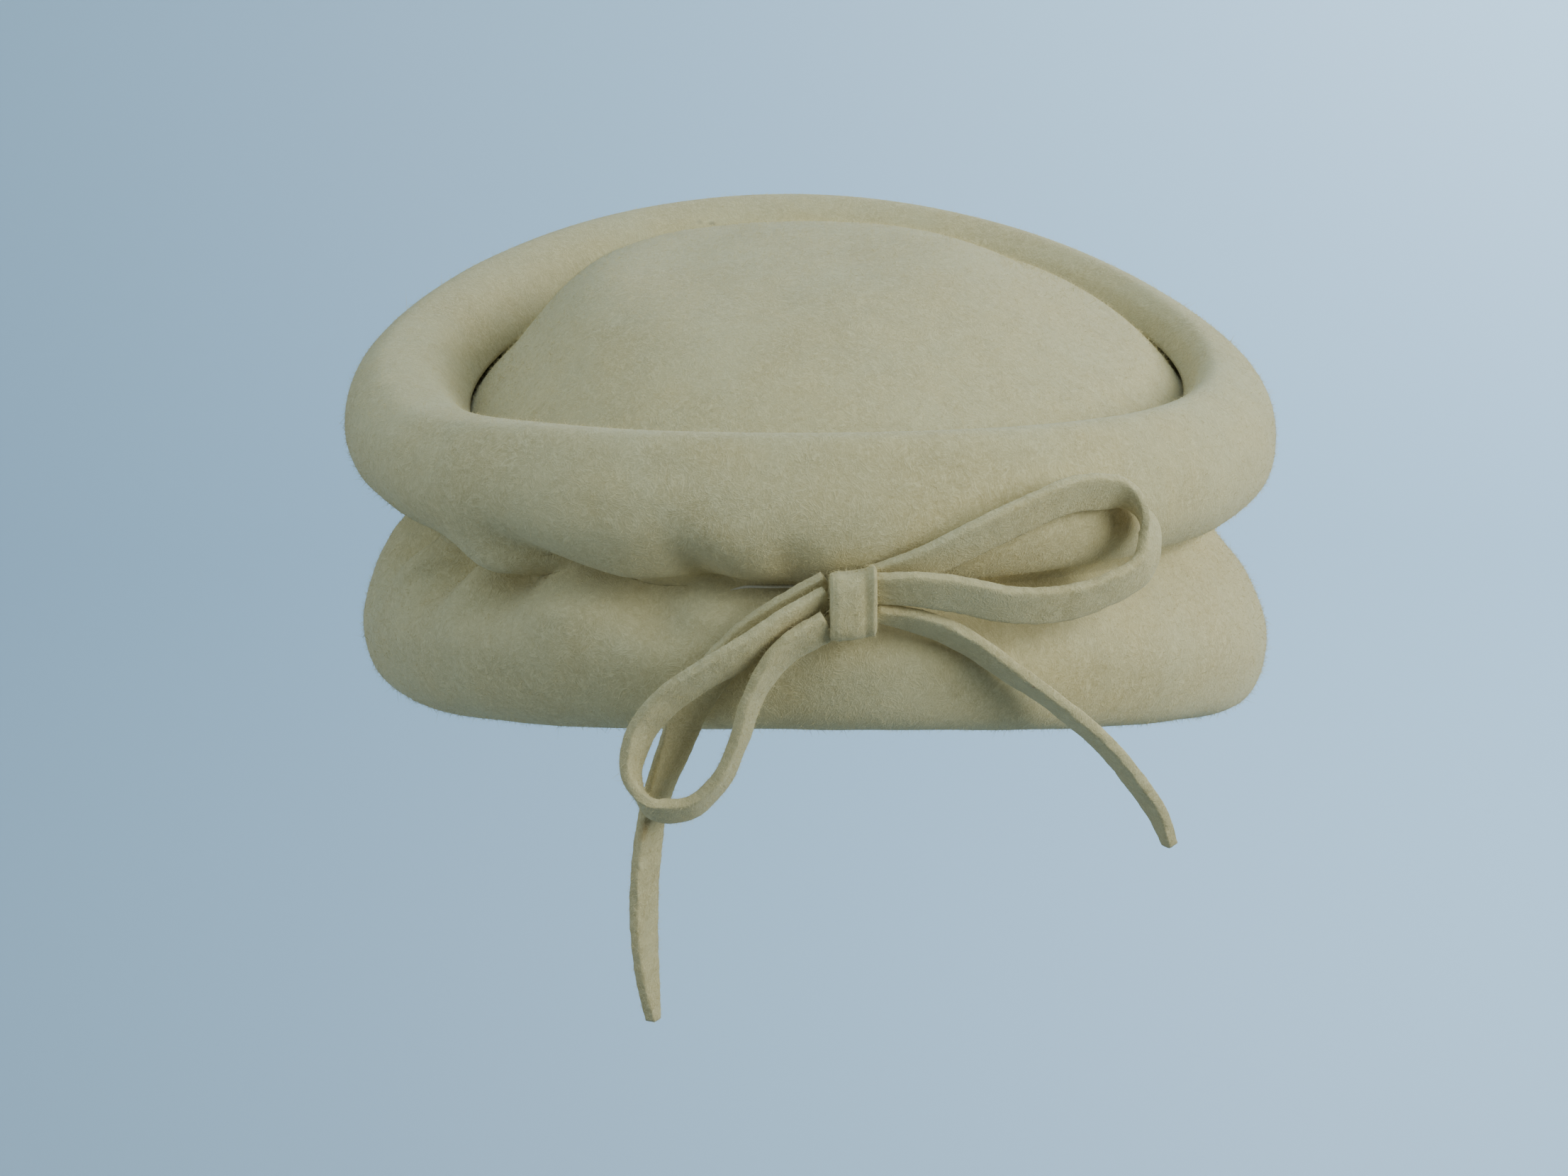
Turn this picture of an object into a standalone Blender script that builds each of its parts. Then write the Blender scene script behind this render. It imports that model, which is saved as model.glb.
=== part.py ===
"""Felt hat in the pillbox family: one piece of thick felt and a felt bow at the back.

The crown is a low dome whose wall runs down to the head opening. There the felt folds outward and
turns up again as a deep brim: a lower roll, a waist drawn in by a gathering thread, and an upper
roll that stands round the dome like a ring and ends in an edge tucked against it. A narrow felt
strip is tied into a bow at the waist, with two loops, two tails and a knot band.

+X is the wearer's right, +Y the front and +Z up, so the bow is at -Y. The origin is on the inside
of the crown, at its middle, where the top of the head carries the hat.
"""

import math
from collections import namedtuple

import bmesh
import bpy
import numpy as np
from mathutils import Vector

MM = 0.001

# The felt, in millimetres.
FELT_THICKNESS = 2.2
STRIP_WIDTH = 8.0
STRIP_THICKNESS = 2.4
PIECE_GAP = 0.3

# Heights in the tables below are measured from the waist at the sides of the hat.
CROWN_HEIGHT = 59.0
SEAT_HEIGHT = CROWN_HEIGHT - FELT_THICKNESS / 2

FELT_COLOUR = (0.72, 0.66, 0.50, 1.0)
FELT_ROUGHNESS = 0.95

# The felt follows these rings in order, from the middle of the dome to the tucked edge, in
# millimetres. Each ring is an ellipse. rise_front and rise_right lift its front and its right side,
# dip_sides lowers both sides and lifts the front and the back, and cuts is the number of faces
# between this ring and the next.
Ring = namedtuple(
    "Ring",
    "name half_width half_length shift_right shift_front height rise_front rise_right dip_sides cuts",
)
RINGS = (
    Ring("dome_middle", 0.0, 0.0, 4.0, 0.0, CROWN_HEIGHT, 0.0, 0.0, 0.0, 2),
    Ring("dome_third", 29.0, 30.0, 4.0, 0.0, 57.4, 5.7, 0.7, 0.0, 2),
    Ring("dome_slope", 57.5, 60.0, 4.0, 0.0, 48.2, 10.8, -2.0, 0.2, 2),
    Ring("dome_rim", 71.6, 77.0, 3.5, 0.0, 37.8, 14.4, 2.5, 2.7, 1),
    Ring("shoulder", 79.2, 84.2, 3.2, 0.0, 29.6, 14.8, 3.0, 3.5, 1),
    Ring("wall_top", 81.5, 87.1, 2.6, 0.0, 19.3, 10.5, 2.2, 2.5, 2),
    Ring("wall_middle", 80.5, 89.0, 1.0, 0.0, 0.0, -2.0, 0.5, 1.0, 2),
    Ring("wall_foot", 79.0, 90.9, 1.2, 0.0, -25.1, -9.7, -1.3, 3.4, 1),
    Ring("fold_inside", 80.5, 92.9, 1.5, 0.0, -32.1, -9.7, -1.3, 3.4, 1),
    Ring("fold_bottom", 84.5, 95.9, 2.0, 0.0, -34.6, -9.7, -1.3, 3.4, 1),
    Ring("underside", 89.5, 99.4, 2.2, 0.0, -34.1, -9.7, -1.3, 3.4, 1),
    Ring("lower_corner", 96.1, 103.5, 1.2, 0.0, -30.7, -9.4, -2.1, 3.0, 2),
    Ring("lower_roll", 99.3, 106.5, 0.9, 0.0, -21.0, -9.8, -1.8, 2.7, 2),
    Ring("lower_slope", 95.3, 103.5, 0.2, 0.0, -8.2, -6.4, -1.6, 0.7, 2),
    Ring("waist_below", 90.1, 99.6, -0.5, 0.0, -1.4, -3.4, -1.2, 0.0, 2),
    Ring("waist", 87.1, 96.5, -0.6, 0.0, 3.3, -2.1, -1.2, 0.0, 2),
    Ring("waist_above", 90.1, 99.6, -0.5, 0.0, 8.0, -0.6, -1.2, 0.0, 2),
    Ring("upper_slope", 96.5, 104.3, -0.3, 0.0, 13.4, 4.4, -0.8, 0.3, 2),
    Ring("upper_roll", 101.1, 108.6, -0.3, 0.0, 25.6, 11.4, -1.0, 2.5, 2),
    Ring("upper_shoulder", 98.0, 105.5, -0.4, 0.0, 38.2, 14.3, -0.4, 3.7, 2),
    Ring("crest", 90.0, 98.6, -1.2, 0.0, 44.0, 14.5, 0.4, 5.3, 2),
    Ring("inner_shoulder", 85.1, 92.2, 0.9, 0.0, 42.3, 13.8, 0.3, 4.8, 2),
    Ring("inner_wall", 81.6, 87.6, 3.0, 0.0, 37.2, 14.8, 2.5, 3.9, 1),
    Ring("tucked_edge", 79.7, 85.0, 3.3, 0.0, 33.2, 14.4, 3.0, 3.1, 0),
)

# Gathers that the thread pulls into the felt at the waist: pockets, and bulges where the depth is
# negative. angle is the place at the waist, from the back of the hat towards its left side, spread
# the half width, and lean the turn over 10 mm upward, all in degrees. level is the middle's distance
# above the waist and reach the half length, both along the felt. depth draws the felt inward and
# sink lets it hang. Levels, reaches, depths and sinks are in millimetres.
Gather = namedtuple("Gather", "angle spread lean level reach depth sink")
GATHERS = (
    Gather(14.5, 4.5, -0.5, -7, 9, -2.1, 0.0),
    Gather(23.5, 3.6, 1.0, -13, 9, 2.8, 0.0),
    Gather(33.5, 6.0, -0.5, -10, 10, -3.2, 0.0),
    Gather(44.5, 4.0, -1.0, -8, 8.5, 8.0, 0.0),
    Gather(50, 2.6, -4.0, -7, 9, -3.4, 0.0),
    Gather(55.5, 4.2, -2.0, -8.5, 9, 8.6, 0.0),
    Gather(62.5, 2.6, -4.5, -7, 10, -3.8, 0.0),
    Gather(72.5, 5.2, -1.5, -8, 9, 7.8, 0.0),
    Gather(84, 3.0, -1.0, -4, 8, -1.2, 0.0),
    Gather(95, 5.0, 0.0, -7, 7, 3.5, 0.0),
    Gather(112, 6.0, 0.0, -7, 7, 2.0, 0.0),
    Gather(5, 2.8, 0.5, 20, 9, 1.9, 0.0),
    Gather(13.5, 3.4, 1.8, 13, 12, 5.4, 0.0),
    Gather(22.5, 4.0, 2.0, 9, 8, -1.8, 0.8),
    Gather(31, 4.6, 4.5, 10, 10, 6.6, 0.0),
    Gather(43, 5.4, 2.0, 8, 8, -2.8, 4.6),
    Gather(54, 3.8, 4.0, 9, 7, 3.2, 1.5),
    Gather(66, 4.5, 3.0, 8, 7, 2.6, 0.0),
    Gather(80, 5.0, 2.0, 8, 7, 2.0, 0.0),
    Gather(96, 5.0, 0.0, 8, 7, 1.4, 0.0),
    Gather(64, 15.0, 0.0, 46, 14, 0.0, 2.4),
    Gather(142, 24.0, 0.0, 36, 16, -1.5, 0.0),
    Gather(216, 26.0, 0.0, 36, 16, -1.8, 0.0),
)

# Directions round the hat where the felt is divided: finely through the gathers, coarsely
# elsewhere. Each row gives the direction where it starts, from the back towards the left, and the
# step to the next direction, all in degrees.
Division = namedtuple("Division", "start step")
DIVISIONS = (Division(-6, 3.0), Division(84, 6.0), Division(120, 9.0))

# The strips run through these points, in millimetres. right, front and up give the middle of the
# strip, across_right, across_front and across_up the direction in which its width points, and width
# what the strip measures there: it is pinched at the knot and cut to a blunt point at its free end.
Stop = namedtuple("Stop", "right front up across_right across_front across_up width")
RIGHT_LOOP = (
    Stop(5.2, -109.4, 10.0, 0.0, 0.5, -0.87, 5.5),
    Stop(13.5, -111.3, 12.9, 0.0, 0.5, -0.87, 7.0),
    Stop(24.0, -110.8, 17.8, 0.0, 0.5, -0.87, STRIP_WIDTH),
    Stop(34.5, -107.3, 21.9, 0.0, 0.5, -0.87, STRIP_WIDTH),
    Stop(45.5, -101.8, 24.6, 0.0, 0.5, -0.87, STRIP_WIDTH),
    Stop(55.0, -97.0, 22.2, 0.3, 0.7, -0.65, STRIP_WIDTH),
    Stop(59.5, -96.0, 16.5, 0.5, 0.75, -0.4, STRIP_WIDTH),
    Stop(58.5, -98.5, 10.5, 0.4, 0.7, -0.6, STRIP_WIDTH),
    Stop(50.5, -104.5, 6.3, 0.1, 0.6, -0.8, STRIP_WIDTH),
    Stop(40.5, -109.0, 4.5, 0.0, 0.5, -0.87, STRIP_WIDTH),
    Stop(30.0, -112.2, 5.2, 0.0, 0.5, -0.87, STRIP_WIDTH),
    Stop(20.5, -113.4, 7.5, 0.0, 0.5, -0.87, STRIP_WIDTH),
    Stop(13.0, -113.6, 8.6, 0.0, 0.5, -0.87, 7.5),
    Stop(5.2, -112.4, 8.6, 0.0, 0.5, -0.87, 6.5),
)
LEFT_LOOP = (
    Stop(-3.9, -111.2, 6.6, 0.0, 0.5, -0.86, 6.0),
    Stop(-11.0, -112.4, 2.6, 0.1, 0.6, -0.8, 7.5),
    Stop(-20.0, -113.4, -3.2, 0.2, 0.65, -0.72, STRIP_WIDTH),
    Stop(-28.0, -112.8, -8.0, 0.25, 0.7, -0.65, STRIP_WIDTH),
    Stop(-35.0, -111.0, -13.6, 0.3, 0.7, -0.6, STRIP_WIDTH),
    Stop(-40.0, -109.0, -21.3, 0.35, 0.75, -0.5, STRIP_WIDTH),
    Stop(-41.0, -108.5, -28.3, 0.3, 0.8, -0.5, STRIP_WIDTH),
    Stop(-37.0, -108.5, -34.7, 0.2, 0.75, -0.65, STRIP_WIDTH),
    Stop(-30.8, -108.5, -35.0, 0.2, 0.82, -0.58, STRIP_WIDTH),
    Stop(-25.0, -109.0, -30.2, 0.22, 0.9, -0.42, STRIP_WIDTH),
    Stop(-21.0, -110.3, -21.8, 0.24, 0.92, -0.34, STRIP_WIDTH),
    Stop(-18.0, -112.0, -12.2, 0.3, 0.88, -0.34, STRIP_WIDTH),
    Stop(-12.0, -113.4, -3.0, 0.3, 0.7, -0.6, 7.5),
    Stop(-3.9, -113.2, 1.9, 0.0, 0.4, -0.9, 6.5),
)
LEFT_TAIL = (
    Stop(-3.9, -108.6, 9.2, 0.0, 0.45, -0.9, 4.5),
    Stop(-10.0, -107.8, 5.2, 0.1, 0.4, -0.85, 5.5),
    Stop(-16.0, -107.3, 0.8, 0.3, 0.3, -0.8, 6.5),
    Stop(-21.0, -107.2, -3.8, 0.5, 0.2, -0.75, 7.0),
    Stop(-25.5, -106.6, -9.0, 0.65, 0.15, -0.6, 7.0),
    Stop(-29.5, -104.8, -15.5, 0.85, 0.15, -0.45, 7.0),
    Stop(-33.0, -102.4, -25.0, 0.8, 0.5, -0.25, 7.0),
    Stop(-36.5, -101.0, -35.0, 0.65, 0.75, -0.1, 7.0),
    Stop(-38.5, -100.3, -48.0, 0.6, 0.8, 0.0, 7.5),
    Stop(-39.0, -100.2, -62.0, 0.6, 0.8, 0.0, 7.0),
    Stop(-38.4, -100.0, -71.5, 0.6, 0.8, 0.0, 5.5),
    Stop(-37.4, -99.5, -80.5, 0.6, 0.8, 0.0, 2.5),
)
RIGHT_TAIL = (
    Stop(5.2, -110.4, 3.6, 0.0, 0.75, -0.65, 4.0),
    Stop(12.0, -109.6, 1.9, -0.1, 0.7, -0.7, 5.5),
    Stop(18.8, -108.9, -0.6, -0.2, 0.75, -0.62, 6.5),
    Stop(25.0, -108.5, -4.3, -0.2, 0.82, -0.52, 7.5),
    Stop(31.3, -107.8, -9.0, -0.17, 0.88, -0.44, STRIP_WIDTH),
    Stop(37.7, -106.6, -13.6, -0.12, 0.92, -0.37, STRIP_WIDTH),
    Stop(44.1, -105.2, -18.8, -0.11, 0.92, -0.36, STRIP_WIDTH),
    Stop(50.7, -103.6, -25.0, -0.11, 0.92, -0.36, STRIP_WIDTH),
    Stop(56.7, -101.8, -32.4, -0.15, 0.9, -0.38, 7.0),
    Stop(62.1, -99.9, -40.5, -0.2, 0.88, -0.4, 5.5),
    Stop(64.6, -98.6, -46.4, -0.2, 0.88, -0.4, 3.0),
)

# The knot is the strip's middle wrapped round the loops and tails. These are its sections from its
# left to its right end, in millimetres, each a rounded rectangle in an upright plane.
Section = namedtuple("Section", "right front up half_depth half_height")
KNOT = (
    Section(-3.6, -112.0, 5.3, 3.3, 5.7),
    Section(-3.1, -112.0, 5.3, 3.9, 6.2),
    Section(-0.5, -112.1, 5.4, 4.1, 6.4),
    Section(2.2, -112.1, 5.6, 4.0, 6.4),
    Section(2.9, -112.0, 5.7, 3.7, 6.2),
    Section(3.4, -112.1, 5.9, 4.1, 6.6),
    Section(4.4, -112.1, 6.1, 4.1, 6.9),
    Section(4.9, -112.0, 6.1, 3.6, 6.4),
)


def smooth_through(knots, values, places):
    """Values at these places on a smooth curve that passes through every value at its knot."""
    gaps = np.diff(knots)
    slopes = np.diff(values, axis=0) / gaps[:, None]
    tangents = np.empty_like(values)
    tangents[0], tangents[-1] = slopes[0], slopes[-1]
    tangents[1:-1] = (gaps[:-1, None] * slopes[1:] + gaps[1:, None] * slopes[:-1]) / (
        gaps[:-1, None] + gaps[1:, None]
    )
    span = np.clip(np.searchsorted(knots, places, side="right") - 1, 0, len(gaps) - 1)
    gap = gaps[span][:, None]
    t = (places - knots[span])[:, None] / gap
    start, end = values[span], values[span + 1]
    leaving, arriving = tangents[span] * gap, tangents[span + 1] * gap
    return (
        start * (1 + 2 * t) * (1 - t) ** 2
        + leaving * t * (1 - t) ** 2
        + end * t**2 * (3 - 2 * t)
        + arriving * t**2 * (t - 1)
    )


def divided_rings(rows):
    """The rows of a ring table with smooth rings added between them, as each row's cuts ask."""
    sizes = np.array([row[1:-1] for row in rows])
    side = sizes[:, [0, 4]]
    knots = np.concatenate(([0.0], np.cumsum(np.linalg.norm(np.diff(side, axis=0), axis=1))))
    places = np.concatenate(
        [
            np.linspace(knots[i], knots[i + 1], row.cuts, endpoint=False)
            for i, row in enumerate(rows[:-1])
        ]
        + [knots[-1:]]
    )
    names = [row.name for row in rows]
    waist = places - knots[names.index("waist")]
    return smooth_through(knots, sizes, places), waist


def directions():
    """Directions round the hat in degrees, from the back towards its left side."""
    found = []
    for i, division in enumerate(DIVISIONS):
        end = DIVISIONS[i + 1].start if i + 1 < len(DIVISIONS) else DIVISIONS[0].start + 360
        count = round((end - division.start) / division.step)
        found += [division.start + (end - division.start) * k / count for k in range(count)]
    return found


def ring_point(sizes, angle):
    """The point of a ring in this direction, with no gathers."""
    half_width, half_length, shift_right, shift_front, height, rise_front, rise_right, dip = sizes
    right, front = -math.sin(angle), -math.cos(angle)
    return Vector(
        (
            shift_right + half_width * right,
            shift_front + half_length * front,
            height + rise_front * front + rise_right * right - dip * (right**2 - front**2),
        )
    )


def gathering(angle, from_waist):
    """How far the gathers draw the felt inward and down at this distance above the waist."""
    depth, sink = 0.0, 0.0
    for row in GATHERS:
        centre = row.angle + row.lean * from_waist / 10
        off = (math.degrees(angle) - centre + 180) % 360 - 180
        share = math.exp(-((off / row.spread) ** 2) - ((from_waist - row.level) / row.reach) ** 2)
        depth += row.depth * share
        sink += row.sink * share
    return depth, sink


def felt_point(sizes, from_waist, angle):
    """A point on the middle of the felt's thickness, in millimetres."""
    point = ring_point(sizes, angle)
    depth, sink = gathering(angle, from_waist)
    return point + Vector((depth * math.sin(angle), depth * math.cos(angle), -sink))


def finish_mesh(name, mesh_builder, colour, parent):
    """Makes the built shape an object of its own, smooth shaded, standing at the seat's height."""
    mesh = bpy.data.meshes.new(name)
    mesh_builder.to_mesh(mesh)
    mesh_builder.free()
    mesh.shade_smooth()
    material = bpy.data.materials.new(name)
    material.use_nodes = True
    shader = material.node_tree.nodes["Principled BSDF"]
    shader.inputs["Base Color"].default_value = colour
    shader.inputs["Roughness"].default_value = FELT_ROUGHNESS
    mesh.materials.append(material)
    piece = bpy.data.objects.new(name, mesh)
    bpy.context.collection.objects.link(piece)
    piece.parent = parent
    return piece


def felt_body(parent):
    """The hat itself: one wall of felt, spun as a flat disc of rings that are then put in place."""
    rings, from_waist = divided_rings(RINGS)
    around = directions()
    shape = bmesh.new()
    profile = [shape.verts.new((index, 0, 0)) for index in range(len(rings))]
    edges = [shape.edges.new(pair) for pair in zip(profile, profile[1:])]
    bmesh.ops.spin(
        shape,
        geom=profile + edges,
        axis=(0, 0, 1),
        cent=(0, 0, 0),
        steps=len(around),
        angle=2 * math.pi,
        use_merge=True,
    )
    bmesh.ops.remove_doubles(shape, verts=shape.verts, dist=0.001)
    turn = 2 * math.pi / len(around)
    for vertex in shape.verts:
        index = round(vertex.co.length)
        step = round(math.atan2(vertex.co.y, vertex.co.x) / turn) % len(around)
        angle = math.radians(around[step])
        vertex.co = felt_point(rings[index], from_waist[index], angle) * MM
    bmesh.ops.recalc_face_normals(shape, faces=shape.faces)
    piece = finish_mesh("felt_body", shape, FELT_COLOUR, parent)
    wall = piece.modifiers.new("felt_thickness", "SOLIDIFY")
    wall.thickness = FELT_THICKNESS * MM
    wall.offset = 0.0
    wall.use_even_offset = True
    return piece


def strip_frames(stops, count):
    """Middle, tangent, width direction and width at even steps along a strip."""
    rows = np.array(stops)
    steps = np.linalg.norm(np.diff(rows[:, :3], axis=0), axis=1)
    knots = np.concatenate(([0.0], np.cumsum(steps)))
    fine = smooth_through(knots, rows, np.linspace(0, knots[-1], count * 8 + 1))
    run = np.concatenate(([0.0], np.cumsum(np.linalg.norm(np.diff(fine[:, :3], axis=0), axis=1))))
    even = np.linspace(0, run[-1], count + 1)
    picked = np.array([[np.interp(place, run, column) for column in fine.T] for place in even])
    along = np.gradient(picked[:, :3], axis=0)
    frames = []
    for row, direction in zip(picked, along):
        tangent = Vector(direction).normalized()
        across = Vector(row[3:6])
        across = (across - tangent * across.dot(tangent)).normalized()
        frames.append((Vector(row[:3]), tangent, across, row[6]))
    return frames


def strip_outline(width):
    """The strip's cross-section as (across, through) pairs: two flat faces and blunt edges."""
    edge, half = width / 2, STRIP_THICKNESS / 2
    flat = edge - 0.35 * STRIP_THICKNESS
    return ((-edge, 0), (-flat, -half), (flat, -half), (edge, 0), (flat, half), (-flat, half))


def skin(sections):
    """Joins closed loops of points, in millimetres, into one closed body with flat ends."""
    shape = bmesh.new()
    loops = [[shape.verts.new(point * MM) for point in section] for section in sections]
    for first, second in zip(loops, loops[1:]):
        for k in range(len(first)):
            j = (k + 1) % len(first)
            shape.faces.new((first[k], first[j], second[j], second[k]))
    shape.faces.new(loops[0])
    shape.faces.new(loops[-1])
    bmesh.ops.recalc_face_normals(shape, faces=shape.faces)
    return shape


def felt_strip(name, stops, count, parent):
    """A flat strip of felt swept through its stops, cut flush where it comes out of the knot."""
    knot_ends = (KNOT[0].right - PIECE_GAP, KNOT[-1].right + PIECE_GAP)
    sections = []
    for middle, tangent, across, width in strip_frames(stops, count):
        through = tangent.cross(across)
        sections.append([middle + across * a + through * b for a, b in strip_outline(width)])
        place = min(knot_ends, key=lambda end: abs(middle.x - end))
        if abs(middle.x - place) < 0.01:
            sections[-1] = [p + tangent * ((place - p.x) / tangent.x) for p in sections[-1]]
    return finish_mesh(name, skin(sections), FELT_COLOUR, parent)


def knot_band(parent, sides=20):
    """The knot, a short body of rounded rectangles whose groove is the strip's overlapping edge."""
    sections = []
    for row in KNOT:
        section = []
        for k in range(sides):
            angle = 2 * math.pi * k / sides
            depth = math.copysign(abs(math.cos(angle)) ** 0.6, math.cos(angle)) * row.half_depth
            height = math.copysign(abs(math.sin(angle)) ** 0.6, math.sin(angle)) * row.half_height
            section.append(Vector((row.right, row.front + depth, row.up + height)))
        sections.append(section)
    return finish_mesh("knot_band", skin(sections), FELT_COLOUR, parent)


def clear_scene():
    for thing in list(bpy.data.objects):
        bpy.data.objects.remove(thing)


def main():
    clear_scene()
    hat = bpy.data.objects.new("hat", None)
    bpy.context.collection.objects.link(hat)
    hat.location.z = -SEAT_HEIGHT * MM
    felt_body(hat)
    felt_strip("bow_loop_right", RIGHT_LOOP, 34, hat)
    felt_strip("bow_loop_left", LEFT_LOOP, 34, hat)
    felt_strip("bow_tail_right", RIGHT_TAIL, 22, hat)
    felt_strip("bow_tail_left", LEFT_TAIL, 24, hat)
    knot_band(hat)


if __name__ == "__main__":
    main()
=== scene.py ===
"""Looks of the felt hat: fuzzy cream wool felt, its gathers, its bow and a soft pale studio.

The hat's felt, bow strips and knot are modelled finely here from the same tables as the solids they
stand for. Heights in the tables are measured from the waist at the sides of the hat.
"""

import math
from collections import namedtuple

import bmesh
import bpy
import numpy as np
from bpy.props import FloatProperty, FloatVectorProperty, IntProperty, PointerProperty
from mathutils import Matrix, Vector, noise


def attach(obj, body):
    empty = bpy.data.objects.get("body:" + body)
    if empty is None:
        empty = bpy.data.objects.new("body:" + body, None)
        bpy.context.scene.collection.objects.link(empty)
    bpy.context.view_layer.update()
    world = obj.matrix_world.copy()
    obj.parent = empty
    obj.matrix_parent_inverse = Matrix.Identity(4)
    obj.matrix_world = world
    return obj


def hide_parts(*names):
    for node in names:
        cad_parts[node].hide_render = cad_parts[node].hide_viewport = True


bl_info = {
    "name": "Felt Hat",
    "version": (1, 0, 0),
    "blender": (4, 5, 0),
    "location": "3D View > Sidebar > Felt Hat",
    "description": "Builds a folded felt hat with a gathered waist and a bow, in a pale studio",
    "category": "Object",
}

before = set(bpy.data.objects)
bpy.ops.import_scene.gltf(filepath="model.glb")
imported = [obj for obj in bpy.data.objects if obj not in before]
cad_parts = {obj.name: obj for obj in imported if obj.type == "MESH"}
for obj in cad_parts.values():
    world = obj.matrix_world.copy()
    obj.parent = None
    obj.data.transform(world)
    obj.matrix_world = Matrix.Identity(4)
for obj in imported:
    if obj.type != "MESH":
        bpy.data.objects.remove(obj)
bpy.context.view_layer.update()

MM = 0.001
CROWN_HEIGHT = 59.0
WAIST_DROP = 57.9
STRIP_WIDTH = 8.0

# The felt follows these rings in order, from the middle of the dome to the tucked edge, in
# millimetres. Each ring is an ellipse. rise_front and rise_right lift its front and its right side,
# dip_sides lowers both sides and lifts the front and the back, and cuts is the number of faces
# between this ring and the next.
Ring = namedtuple(
    "Ring",
    "name half_width half_length shift_right shift_front height rise_front rise_right dip_sides cuts",
)
RINGS = (
    Ring("dome_middle", 0.0, 0.0, 4.0, 0.0, CROWN_HEIGHT, 0.0, 0.0, 0.0, 10),
    Ring("dome_third", 29.0, 30.0, 4.0, 0.0, 57.4, 5.7, 0.7, 0.0, 10),
    Ring("dome_slope", 57.5, 60.0, 4.0, 0.0, 48.2, 10.8, -2.0, 0.2, 7),
    Ring("dome_rim", 71.6, 77.0, 3.5, 0.0, 37.8, 14.4, 2.5, 2.7, 5),
    Ring("shoulder", 79.2, 84.2, 3.2, 0.0, 29.6, 14.8, 3.0, 3.5, 4),
    Ring("wall_top", 81.5, 87.1, 2.6, 0.0, 19.3, 10.5, 2.2, 2.5, 4),
    Ring("wall_middle", 80.5, 89.0, 1.0, 0.0, 0.0, -2.0, 0.5, 1.0, 6),
    Ring("wall_foot", 79.0, 90.9, 1.2, 0.0, -25.1, -9.7, -1.3, 3.4, 4),
    Ring("fold_inside", 80.5, 92.9, 1.5, 0.0, -32.1, -9.7, -1.3, 3.4, 3),
    Ring("fold_bottom", 84.5, 95.9, 2.0, 0.0, -34.6, -9.7, -1.3, 3.4, 3),
    Ring("underside", 89.5, 99.4, 2.2, 0.0, -34.1, -9.7, -1.3, 3.4, 4),
    Ring("lower_corner", 96.1, 103.5, 1.2, 0.0, -30.7, -9.4, -2.1, 3.0, 6),
    Ring("lower_roll", 99.3, 106.5, 0.9, 0.0, -21.0, -9.8, -1.8, 2.7, 8),
    Ring("lower_slope", 95.3, 103.5, 0.2, 0.0, -8.2, -6.4, -1.6, 0.7, 6),
    Ring("waist_below", 90.1, 99.6, -0.5, 0.0, -1.4, -3.4, -1.2, 0.0, 6),
    Ring("waist", 87.1, 96.5, -0.6, 0.0, 3.3, -2.1, -1.2, 0.0, 6),
    Ring("waist_above", 90.1, 99.6, -0.5, 0.0, 8.0, -0.6, -1.2, 0.0, 6),
    Ring("upper_slope", 96.5, 104.3, -0.3, 0.0, 13.4, 4.4, -0.8, 0.3, 8),
    Ring("upper_roll", 101.1, 108.6, -0.3, 0.0, 25.6, 11.4, -1.0, 2.5, 8),
    Ring("upper_shoulder", 98.0, 105.5, -0.4, 0.0, 38.2, 14.3, -0.4, 3.7, 6),
    Ring("crest", 90.0, 98.6, -1.2, 0.0, 44.0, 14.5, 0.4, 5.3, 5),
    Ring("inner_shoulder", 85.1, 92.2, 0.9, 0.0, 42.3, 13.8, 0.3, 4.8, 5),
    Ring("inner_wall", 81.6, 87.6, 3.0, 0.0, 37.2, 14.8, 2.5, 3.9, 4),
    Ring("tucked_edge", 79.5, 84.8, 3.3, 0.0, 33.2, 14.4, 3.0, 3.1, 0),
)

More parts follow.
